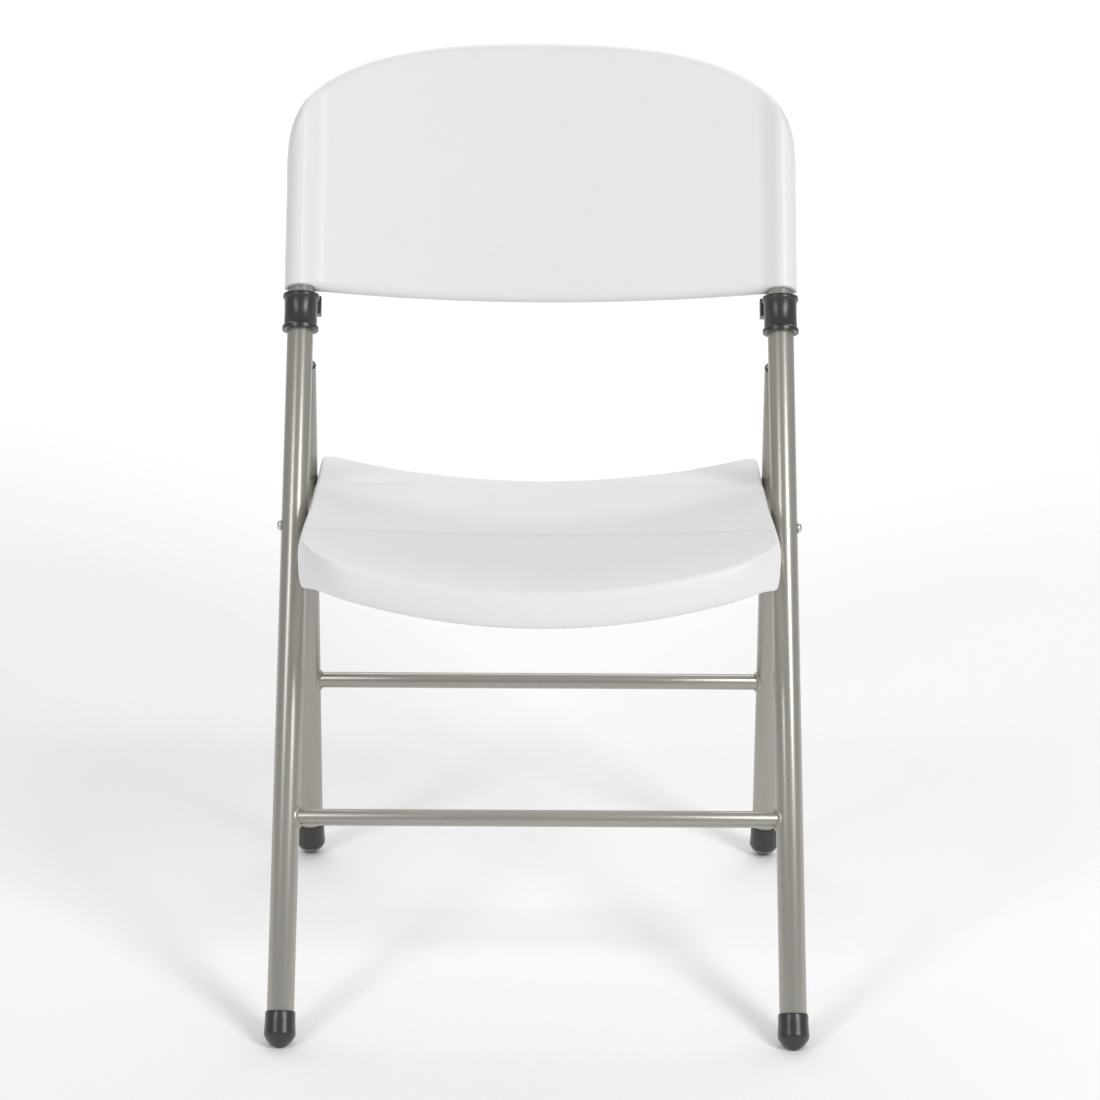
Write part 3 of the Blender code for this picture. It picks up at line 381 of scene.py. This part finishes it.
def foot_cap(name, place, foot, top, floor_normal):
    """A cap from its foot's end towards top: a domed foot, which the floor's plane cuts flat."""
    mouth, wide, length = tube_radius + 0.0015, tube_radius + 0.0022, 0.0332
    dome_base, dome_height, fullness, steps = 0.0121, 0.0136, 1.33, 14
    bore, bore_end = tube_radius + 0.0002, 0.0132
    profile = [(0, dome_base - dome_height)]
    for step in range(1, steps + 1):
        angle = pi / 2 * step / steps
        drop = dome_height * abs(cos(angle)) ** fullness
        profile.append((wide * sin(angle) ** fullness, dome_base - drop))
    profile += [
        (wide - 0.0001, dome_base + 0.0014), (mouth, 0.024), (mouth, length - 0.0018),
        (mouth - 0.0006, length), (bore, length), (bore, bore_end), (0, bore_end),
    ]
    made = lathe(profile)
    bpy.ops.object.mode_set(mode="EDIT")
    bpy.ops.mesh.select_all(action="SELECT")
    bpy.ops.mesh.bisect(plane_co=(0, 0, 0), plane_no=floor_normal, use_fill=True, clear_inner=True)
    bpy.ops.object.mode_set(mode="OBJECT")
    soften(made, 0.0004)
    return put(made, name, place @ along(foot, top), black_plastic)


for side, sign in (("left", 1), ("right", -1)):
    foot, top = (sign * front_x(0), 0, 0), (sign * front_x(0.04), 0, 0.04)
    upright = (front_frame @ along(foot, top)).to_3x3().inverted() @ Vector((0, 0, 1))
    made = foot_cap(f"front-foot-{side}", front_frame, foot, top, upright)
    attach(made, "front_frame")
    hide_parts(f"front_foot_{side}")


# ---------------------------------------------------------------- Rear legs
# Two steel tubes that hang from hinges behind the front tubes, in the same powder coat. A level
# crossbar is welded between them, and each stands in its own black cap.
leg_length = 0.55709
rear_lean = radians(3.7095)
rear_half, rear_taper = 0.23297, 0.00646
rear_tube_start, rear_tube_drop = 0.0064, 0.0165
rear_frame = Matrix.Translation((0, 0.115861, 0.555922)) @ Matrix.Rotation(rear_lean, 4, "X")


def rear_x(height):
    """Half of the space between the rear tubes' axes at that height over the hinge."""
    return rear_half - height * rear_taper


rear_bar = -0.3584
for side, sign in (("left", 1), ("right", -1)):
    start = rear_tube_start - leg_length
    low = (sign * rear_x(start), 0, start)
    high = (sign * rear_x(-rear_tube_drop), 0, -rear_tube_drop)
    made = tube(f"rear-tube-{side}", rear_frame, low, high, tube_radius, tube_wall, powder_coat)
    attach(made, "rear_frame")
    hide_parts(f"rear_tube_{side}")
    foot = (sign * rear_x(-leg_length), 0, -leg_length)
    top = (sign * rear_x(0.04 - leg_length), 0, 0.04 - leg_length)
    upright = (rear_frame @ along(foot, top)).to_3x3().inverted() @ Vector((0, 0, 1))
    made = foot_cap(f"rear-foot-{side}", rear_frame, foot, top, upright)
    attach(made, "rear_frame")
    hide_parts(f"rear_foot_{side}")
    centre = (sign * rear_x(rear_bar), 0, rear_bar)
    made = weld_bead(f"rear-weld-{side}", rear_frame, centre, sign, powder_coat)
    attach(made, "rear_frame")
reach = rear_x(rear_bar) - tube_radius + bar_cope
left_end, right_end = (reach, 0, rear_bar), (-reach, 0, rear_bar)
made = tube("rear-crossbar", rear_frame, right_end, left_end, bar_radius, bar_wall, powder_coat)
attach(made, "rear_frame")
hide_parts("rear_crossbar")


# ---------------------------------------------------------------- Rear legs' hinges
# Each rear tube is closed by a domed black plug, which a flat steel tongue comes up through. The
# tongue turns on a zinc-plated rivet in a folded clevis that is welded behind the front tube.
zinc = finish(
    "zinc_plate", metallic=1.0, coat=0.0, bump=0.15, edge_from=0.55, edge_to=0.65,
    Colour=(0.66, 0.66, 0.65, 1), Tone=0.08, Tone_Scale=120.0, Speckle=0.10, Speckle_Scale=1800.0,
    Scuff_Colour=(0.42, 0.42, 0.40, 1), Scuff=0.35, Scuff_Scale=240.0,
    Edge_Colour=(0.80, 0.80, 0.80, 1), Roughness=0.30, Roughness_Spread=0.08,
)
leg_hinge = 0.6807
hinge_back = 0.0300
pin_hole, through = 0.0043, 0.03


def plate(outline, low, high):
    """A flat outline of (y, z) points extruded along X from low to high."""
    mesh = bpy.data.meshes.new("plate")
    mesh.from_pydata([(low, y, z) for y, z in outline], [], [range(len(outline))])
    made = bpy.data.objects.new("plate", mesh)
    bpy.context.scene.collection.objects.link(made)
    bpy.ops.object.select_all(action="DESELECT")
    bpy.context.view_layer.objects.active = made
    made.select_set(True)
    bpy.ops.object.mode_set(mode="EDIT")
    bpy.ops.mesh.select_all(action="SELECT")
    bpy.ops.mesh.extrude_region_move(TRANSFORM_OT_translate={"value": (high - low, 0, 0)})
    bpy.ops.mesh.select_all(action="SELECT")
    bpy.ops.mesh.normals_make_consistent(inside=False)
    bpy.ops.object.mode_set(mode="OBJECT")
    return made


def carve(obj, cutter, operation="DIFFERENCE"):
    """Applies a Boolean and removes its cutter."""
    boolean = obj.modifiers.new("carve", "BOOLEAN")
    boolean.object, boolean.operation, boolean.solver = cutter, operation, "EXACT"
    bpy.context.view_layer.objects.active = obj
    bpy.ops.object.modifier_apply(modifier="carve")
    bpy.data.objects.remove(cutter, do_unlink=True)


def cross_rod(x, y, z, radius, length):
    """A round cutter along X, centred at that point."""
    bpy.ops.mesh.primitive_cylinder_add(
        vertices=40, radius=radius, depth=length, location=(x, y, z), rotation=(0, pi / 2, 0)
    )
    bpy.ops.object.transform_apply()
    return bpy.context.active_object


def rivet(name, place, head, clench, y, z):
    """A rivet along X: a dome with a brim outside head, and a flat clenched end past clench."""
    length, shank = abs(head - clench), 0.0040
    dome = [(0.0052 * cos(a), length + 0.0006 + 0.0036 * sin(a)) for a in (0, 0.25, 0.5, 0.75, 1.0, 1.25)]
    clenched = [(0, -0.0016), (0.0018, -0.0020), (0.0052, -0.0020), (0.0060, -0.0014), (0.0060, 0)]
    brim = [(shank, 0), (shank, length), (0.0052, length)]
    made = lathe([*clenched, *brim, *dome, (0, length + 0.0042)], segments=48)
    soften(made, 0.0002, segments=2)
    return put(made, name, place @ along((clench, y, z), (head, y, z)), zinc)


for side, sign in (("left", 1), ("right", -1)):
    centre = sign * rear_half
    back, height = tube_radius + 0.0001, 0.0085
    outline = [(back, leg_hinge - height)]
    for step in range(25):
        angle = -pi / 2 + pi * step / 24
        outline.append((hinge_back + height * cos(angle), leg_hinge + height * sin(angle)))
    outline.append((back, leg_hinge + height))
    made = plate(outline, centre - 0.0048, centre + 0.0048)
    bpy.ops.mesh.primitive_cube_add(
        size=1, location=(centre, 0.0152 + 0.02, leg_hinge), scale=(0.0046, 0.04, 0.06)
    )
    bpy.ops.object.transform_apply()
    carve(made, bpy.context.active_object)
    carve(made, cross_rod(centre, hinge_back, leg_hinge, pin_hole, through))
    soften(made, 0.0004)
    put(made, f"hinge-clevis-{side}", front_frame, powder_coat)
    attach(made, "front_frame")
    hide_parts(f"hinge_clevis_{side}")

    head, clench = centre + sign * 0.0051, centre - sign * 0.0051
    made = rivet(f"hinge-rivet-{side}", front_frame, head, clench, hinge_back, leg_hinge)
    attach(made, "front_frame")
    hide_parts(f"leg_hinge_rivet_{side}")

    half, foot = 0.008, -0.052
    outline = [(-half, foot)]
    outline += [(-half * cos(pi * step / 24), half * sin(pi * step / 24)) for step in range(25)]
    outline.append((half, foot))
    made = plate(outline, centre - 0.002, centre + 0.002)
    carve(made, cross_rod(centre, 0, 0, pin_hole, through))
    soften(made, 0.0003)
    put(made, f"hinge-tongue-{side}", rear_frame, powder_coat)
    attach(made, "rear_frame")
    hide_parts(f"hinge_tongue_{side}")

    made = lathe([
        (0, -0.0322), (0.0110, -0.0322), (0.0112, -0.0162), (0.0128, -0.0162), (0.0129, -0.0150),
        (0.0122, -0.0134), (0.0098, -0.0121), (0.0060, -0.0114), (0, -0.0112),
    ])
    low = (centre + sign * rear_tube_drop * rear_taper, 0, -rear_tube_drop)
    tilt = along(low, (centre, 0, 0))
    tilt.translation = (centre, 0, 0)
    made.data.transform(tilt)
    bpy.ops.mesh.primitive_cube_add(size=1, location=(centre, 0, -0.03), scale=(0.0046, 0.0166, 0.06))
    bpy.ops.object.transform_apply()
    carve(made, bpy.context.active_object)
    soften(made, 0.0002, segments=2)
    put(made, f"rear-plug-{side}", rear_frame, black_plastic)
    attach(made, "rear_frame")
    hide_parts(f"rear_tube_plug_{side}")


# ---------------------------------------------------------------- Screws
# Zinc-plated pan-head screws with a cross recess. The longer ones hold the collars and the back
# to the front tubes from behind, and the short ones hold the brackets under the seat.
def screw(name, place, seat, tip):
    """A screw whose head sits on seat and whose thread ends at tip."""
    length = (Vector(tip) - Vector(seat)).length
    crest, root, pitch = 0.0020, 0.0016, 0.0008
    head = [(0, -0.0024), (0.0014, -0.0024), (0.0027, -0.0020), (0.0037, -0.0012)]
    head += [(0.0042, -0.0002), (0.0042, 0)]
    thread = [(crest, 0)]
    for turn in range(int(length / pitch)):
        start = turn * pitch
        thread += [(crest, start + 0.0002), (root, start + 0.0005)]
    made = lathe([*head, *thread, (0.0014, length), (0, length)], segments=32)
    for width, depth in ((0.0008, 0.0036), (0.0036, 0.0008)):
        bpy.ops.mesh.primitive_cube_add(size=1, location=(0, 0, -0.0024), scale=(width, depth, 0.0026))
        bpy.ops.object.transform_apply()
        carve(made, bpy.context.active_object)
    made.select_set(True)
    bpy.ops.object.shade_smooth_by_angle(angle=radians(35))
    return put(made, name, place @ along(seat, tip), zinc)


collar_low, collar_length = 0.6925, 0.036
collar_screw = collar_low + collar_length - 0.00575
screw_tip = 0.0103
back_low = 0.7340
back_screw = back_low + 0.066
for side, sign in (("left", 1), ("right", -1)):
    x = sign * front_x(collar_screw)
    made = screw(f"collar-screw-{side}", front_frame, (x, 0.0253, collar_screw), (x, screw_tip, collar_screw))
    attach(made, "front_frame")
    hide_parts(f"collar_screw_{side}")
    x = sign * front_x(back_screw)
    made = screw(f"back-screw-{side}", front_frame, (x, 0.0180, back_screw), (x, screw_tip, back_screw))
    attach(made, "front_frame")
    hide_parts(f"back_screw_{side}")


# ---------------------------------------------------------------- Collars
# Black moulded collars clamped on the front tubes under the back, a flange at each end, with a
# lug behind that takes a screw.
for side, sign in (("left", 1), ("right", -1)):
    bore, body, flange = tube_radius + 0.0002, tube_radius + 0.0032, tube_radius + 0.0051
    made = lathe([
        (bore, 0), (flange - 0.0002, 0), (flange, 0.0034), (flange - 0.0012, 0.0044),
        (body + 0.0002, 0.0052), (body, 0.018), (body + 0.0002, 0.0308), (flange - 0.0012, 0.0316),
        (flange, 0.0326), (flange - 0.0002, collar_length), (bore, collar_length),
    ], closed=True)
    bpy.ops.mesh.primitive_cube_add(
        size=1, location=(-sign * 0.0064, 0.0185, 0.0302), scale=(0.0247, 0.0130, 0.0175)
    )
    bpy.ops.object.transform_apply()
    lug = bpy.context.active_object
    carve(made, lug, "UNION")
    bpy.ops.mesh.primitive_cylinder_add(vertices=72, radius=bore, depth=0.1, location=(0, 0, 0.018))
    carve(made, bpy.context.active_object)
    soften(made, 0.0006, segments=3, angle=35)
    low = (sign * front_x(collar_low), 0, collar_low)
    straight = front_frame @ Matrix.Translation(low) @ Matrix.Rotation(-sign * front_taper, 4, "Y")
    put(made, f"collar-{side}", straight, black_plastic)
    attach(made, "front_frame")
    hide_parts(f"collar_{side}")


# ---------------------------------------------------------------- Back
# One blow-moulded hollow shell in white plastic: a curved panel between two round sleeves that
# slide over the front tubes. The mould leaves a fine texture and a faint parting line at the rim.
white_shell = finish(
    "white_shell", metallic=0.0, coat=0.0, bump=0.16, edge_from=0.60, edge_to=0.75,
    Colour=(0.835, 0.825, 0.828, 1), Tone=0.008, Tone_Scale=5.0, Speckle=0.012, Speckle_Scale=1100.0,
    Scuff_Colour=(0.78, 0.77, 0.76, 1), Scuff=0.18, Scuff_Scale=38.0,
    Edge_Colour=(0.87, 0.865, 0.86, 1), Roughness=0.38, Roughness_Spread=0.04,
)
back_high = back_low + 0.264
sleeve = tube_radius + 0.0050
back_half = 0.2501
panel_half, set_back = 0.0095, 0.0240
shoulder, fullness, bottom_bow = 0.130, 2.40, 0.0042


def eased(share):
    """A smooth step from 0 to 1."""
    share = min(max(share, 0), 1)
    return share * share * (3 - 2 * share)


def rounded(distance, radius):
    """0 at an edge, 1 from radius inwards, round between."""
    left = 1 - min(max(distance, 0) / radius, 1)
    return sqrt(1 - left * left)


def shell(columns, rows, place):
    """A closed shell between two grids that share their border, closer together at the rim."""
    def spread(count):
        return [(1 - cos(pi * i / count)) / 2 * 0.72 + 0.28 * i / count for i in range(count + 1)]

    bm = bmesh.new()
    grids = {-1: {}, 1: {}}
    for i, u in enumerate(spread(columns)):
        for j, v in enumerate(spread(rows)):
            border = i in (0, columns) or j in (0, rows)
            grids[-1][i, j] = bm.verts.new(place(u, v, -1))
            grids[1][i, j] = grids[-1][i, j] if border else bm.verts.new(place(u, v, 1))
    for grid in grids.values():
        for i in range(columns):
            for j in range(rows):
                bm.faces.new((grid[i, j], grid[i + 1, j], grid[i + 1, j + 1], grid[i, j + 1]))
    bmesh.ops.recalc_face_normals(bm, faces=bm.faces)
    mesh = bpy.data.meshes.new("shell")
    bm.to_mesh(mesh)
    bm.free()
    made = bpy.data.objects.new("shell", mesh)
    bpy.context.scene.collection.objects.link(made)
    bpy.ops.object.select_all(action="DESELECT")
    bpy.context.view_layer.objects.active = made
    made.select_set(True)
    return made


def back_top(x):
    """The top edge's height at x: a superellipse over the upper half."""
    share = min(abs(x) / back_half, 1)
    return back_high - shoulder + shoulder * (1 - share**fullness) ** (1 / fullness)


def back_point(u, v, face):
    """A point of the back's rear (+1) or front (-1) skin, in the front frame."""
    x = back_half * (2 * u - 1)
    inward = back_half - sleeve - abs(x)
    inner = min(abs(x) / (back_half - sleeve), 1)
    low, high = back_low - bottom_bow * (1 - inner**2), back_top(x)
    s = low + v * (high - low)
    near = min(abs(x) + 0.001, back_half)
    slope = (high - back_top(near)) / max(near - abs(x), 1e-5)
    half = sleeve + (panel_half - sleeve) * eased(inward / 0.026 + 0.18)
    foot_radius = 0.0026 + (panel_half - 0.0026) * eased(inward / 0.020)
    above = rounded((high - s) / sqrt(1 + slope * slope), panel_half)
    shape = rounded(back_half - abs(x), half) * above * rounded(s - low, foot_radius)
    return (x, set_back * (1 - inner**2) + face * half * shape, s)


back = shell(150, 100, back_point)
for sign in (1, -1):
    bore_start, bore_end = back_low - 0.02, 0.8722
    low = (sign * front_x(bore_start), 0, bore_start)
    high = (sign * front_x(bore_end), 0, bore_end)
    depth = (Vector(high) - Vector(low)).length
    bpy.ops.mesh.primitive_cylinder_add(vertices=72, radius=tube_radius + 0.0004, depth=depth)
    bore = bpy.context.active_object
    bore.data.transform(along(low, high) @ Matrix.Translation((0, 0, depth / 2)))
    carve(back, bore)
    x = sign * front_x(back_screw)
    bpy.ops.mesh.primitive_cylinder_add(
        vertices=40, radius=0.0045, depth=0.012,
        location=(x, 0.0177 + 0.006, back_screw), rotation=(pi / 2, 0, 0),
    )
    bpy.ops.object.transform_apply()
    carve(back, bpy.context.active_object)
back.select_set(True)
bpy.ops.object.shade_smooth_by_angle(angle=radians(50))
put(back, "back", front_frame, white_shell)
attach(back, "front_frame")
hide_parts("back_shell")


# ---------------------------------------------------------------- Seat
# The blow-moulded seat, in the same white plastic: dished across, with a deep bowed front lip, a
# soft ledge across it, and raised rear corners behind a deeper one. Rebates at its sides take the
# brackets.
seat_tilt = radians(4)
seat_frame = Matrix.Translation((0, -0.008326, 0.418602)) @ Matrix.Rotation(-seat_tilt, 4, "X")
seat_front, seat_rear, seat_under = -0.2507, 0.1452, -0.0117
seat_half_rear, seat_half_front = 0.2190, 0.2216
seat_bow, front_corner, rear_corner = 0.0442, 0.052, 0.022
seat_side, seat_dish, lip_height, rim_radius = 0.0360, 0.0284, 0.0340, 0.0055


def corner(x, half_width, radius):
    """How far a round corner draws an edge in at x."""
    past = min(max(abs(x) - (half_width - radius), 0) / radius, 1)
    return radius * (1 - sqrt(1 - past * past))


def ledge(distance, drop, recovery):
    """A soft step down that starts at 0, is full after drop, and fades over recovery."""
    return eased(distance / drop) * exp(-max(distance, 0) / recovery)


def seat_point(u, v, face):
    """A point of the seat's upper (+1) or lower (-1) skin, in the seat's frame."""
    across = 2 * u - 1
    wide = across * seat_half_front
    bowed = seat_front + seat_bow * across**2
    front = bowed + corner(wide, seat_half_front, front_corner)
    rear = seat_rear - corner(wide, seat_half_front, rear_corner)
    y = front + v * (rear - front)
    half_width = seat_half_rear + (seat_half_front - seat_half_rear) * eased((-y - 0.030) / 0.090)
    x = across * half_width
    from_side = seat_half_front * (1 - abs(across))
    edge = rounded(min(y - front, rear - y), rim_radius) * rounded(from_side, rim_radius)

    top = seat_side - seat_dish * (1 - across**2)
    outer = eased((abs(across) - 0.42) / 0.58)
    behind_step = y - (-0.058 - 0.078 * across**2)
    top -= 0.0024 * ledge(behind_step, 0.012, 0.075)
    behind_ridge = y - (0.122 - 0.094 * across**2)
    top -= 0.0062 * outer * ledge(behind_ridge, 0.012, 0.040)

    lip = eased(1 - (y - bowed) / 0.045)
    dimple = max(sin(x * 38) * sin((y + 0.02) * 42), 0) ** 2 * (1 - outer) * (1 - lip)
    bottom = (seat_under + 0.006 * dimple) * (1 - lip) + (top - lip_height) * lip
    return (x, y, (top + bottom) / 2 + face * (top - bottom) / 2 * edge)


seat = shell(150, 120, seat_point)
for sign in (1, -1):
    bpy.ops.mesh.primitive_cube_add(
        size=1, location=(sign * (0.2125 + 0.02), 0.0025, -0.0150), scale=(0.04, 0.300, 0.061)
    )
    bpy.ops.object.transform_apply()
    carve(seat, bpy.context.active_object)
seat.select_set(True)
bpy.ops.object.shade_smooth_by_angle(angle=radians(50))
put(seat, "seat", seat_frame, white_shell)
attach(seat, "seat")
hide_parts("seat_shell")


# ---------------------------------------------------------------- Seat brackets
# Pressed steel plates in the frame's powder coat, screwed under the seat's sides through a
# flange. Each turns on the front tube's rivet and guides the rear leg's pin in a curved slot.
bracket_outer, bracket_sheet = 0.21858, 0.0020
seat_pivot, pin_drop = 0.498, 0.141
hinge_reach, hinge_height = 0.393958, 0.555922
leg_fold, seat_fold = radians(36.5095), radians(61.2)


def slot_path():
    """Where the rear leg's pin goes in the seat's frame as the chair folds, open to folded."""
    points = []
    for step in range(29):
        share = step / 28
        lean = rear_lean - share * leg_fold
        y = hinge_reach + pin_drop * sin(lean) - seat_pivot * sin(front_lean)
        z = hinge_height - pin_drop * cos(lean) - seat_pivot * cos(front_lean)
        turn = share * seat_fold - seat_tilt
        points.append(Vector((y * cos(turn) + z * sin(turn), z * cos(turn) - y * sin(turn))))
    return points


def beside(path):
    """A unit normal on the lower side at each point of the path."""
    found = []
    for i in range(len(path)):
        step = path[min(i + 1, len(path) - 1)] - path[max(i - 1, 0)]
        found.append(Vector((-step.y, step.x)).normalized())
    return found


def arc(centre, radius, start, end):
    """Points of an arc from one angle to another."""
    angles = [start + (end - start) * i / 14 for i in range(15)]
    return [Vector((centre[0] + radius * cos(a), centre[1] + radius * sin(a))) for a in angles]


path = slot_path()
lower = beside(path)
first, last = atan2(lower[0].y, lower[0].x), atan2(lower[-1].y, lower[-1].x)
margin, slot_half = 0.0130, 0.0045
bracket_top = path[0].y + 0.0090
flange_low = seat_under - 0.0023
flange_width, bracket_front = 0.022, -0.130
outline = [Vector((bracket_front, flange_low)), Vector((bracket_front, bracket_top))]
outline += arc(path[0], margin, asin((bracket_top - path[0].y) / margin), first)
outline += [p + n * margin for p, n in zip(path, lower)][1:]
outline += arc(path[-1], margin, last, -pi)[1:]
outline.append(Vector((path[-1].x - margin, flange_low)))
slot = [p + n * slot_half for p, n in zip(path, lower)]
slot += arc(path[-1], slot_half, last, last - pi)[1:-1]
slot += [p - n * slot_half for p, n in reversed(list(zip(path, lower)))]
slot += arc(path[0], slot_half, first - pi, first - 2 * pi)[1:-1]
screw_places = (-0.112, -0.0525, 0.007)
for side, sign in (("left", 1), ("right", -1)):
    outer, inner = sign * bracket_outer, sign * (bracket_outer - bracket_sheet)
    made = plate(outline, min(outer, inner), max(outer, inner))
    bpy.ops.mesh.primitive_cube_add(
        size=1, location=(outer - sign * flange_width / 2, screw_places[1], seat_under - 0.0013),
        scale=(flange_width, 0.155, bracket_sheet),
    )
    bpy.ops.object.transform_apply()
    carve(made, bpy.context.active_object, "UNION")
    carve(made, plate(slot, min(outer, inner) - 0.004, max(outer, inner) + 0.004))
    carve(made, cross_rod(outer, 0, 0, pin_hole, through))
    soften(made, 0.0004, segments=2)
    put(made, f"seat-bracket-{side}", seat_frame, powder_coat)
    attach(made, "seat")
    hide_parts(f"seat_bracket_{side}")
    for number, y in enumerate(screw_places, 1):
        x = sign * (bracket_outer - 0.014)
        head, tip = (x, y, flange_low - 0.0003), (x, y, seat_under + 0.0033)
        made = screw(f"seat-screw-{side}-{number}", seat_frame, head, tip)
        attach(made, "seat")
        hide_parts(f"seat_screw_{side}_{number}")


# ---------------------------------------------------------------- Pivots and pins
# Zinc rivets through the front tubes carry the seat, and others through the rear tubes slide in
# the brackets' slots. A black washer keeps each bracket off its tube.
def washer(name, place, inner, outer, y, z):
    """A plastic washer along X from inner to outer."""
    length = abs(outer - inner)
    rim = 0.0075
    made = lathe([(pin_hole, 0), (rim, 0), (rim, length), (pin_hole, length)], closed=True, segments=48)
    soften(made, 0.0003, segments=2)
    return put(made, name, place @ along((inner, y, z), (outer, y, z)), black_plastic)


for side, sign in (("left", 1), ("right", -1)):
    clench = sign * (bracket_outer - bracket_sheet - 0.0003)
    bracket_face = sign * (bracket_outer + 0.0002)
    tube_x = front_x(seat_pivot)
    head, tube_face = sign * (tube_x + tube_radius + 0.0002), sign * (tube_x - tube_radius - 0.0001)
    made = rivet(f"seat-pivot-{side}", front_frame, head, clench, 0, seat_pivot)
    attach(made, "front_frame")
    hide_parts(f"seat_pivot_rivet_{side}")
    made = washer(f"pivot-washer-{side}", front_frame, bracket_face, tube_face, 0, seat_pivot)
    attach(made, "front_frame")
    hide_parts(f"seat_pivot_spacer_{side}")
    tube_x = rear_x(-pin_drop)
    head, tube_face = sign * (tube_x + tube_radius + 0.0002), sign * (tube_x - tube_radius - 0.0001)
    made = rivet(f"slide-pin-{side}", rear_frame, head, clench, 0, -pin_drop)
    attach(made, "rear_frame")
    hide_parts(f"slide_pin_{side}")
    made = washer(f"slide-washer-{side}", rear_frame, bracket_face, tube_face, 0, -pin_drop)
    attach(made, "rear_frame")
    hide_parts(f"slide_washer_{side}")


low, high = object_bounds()
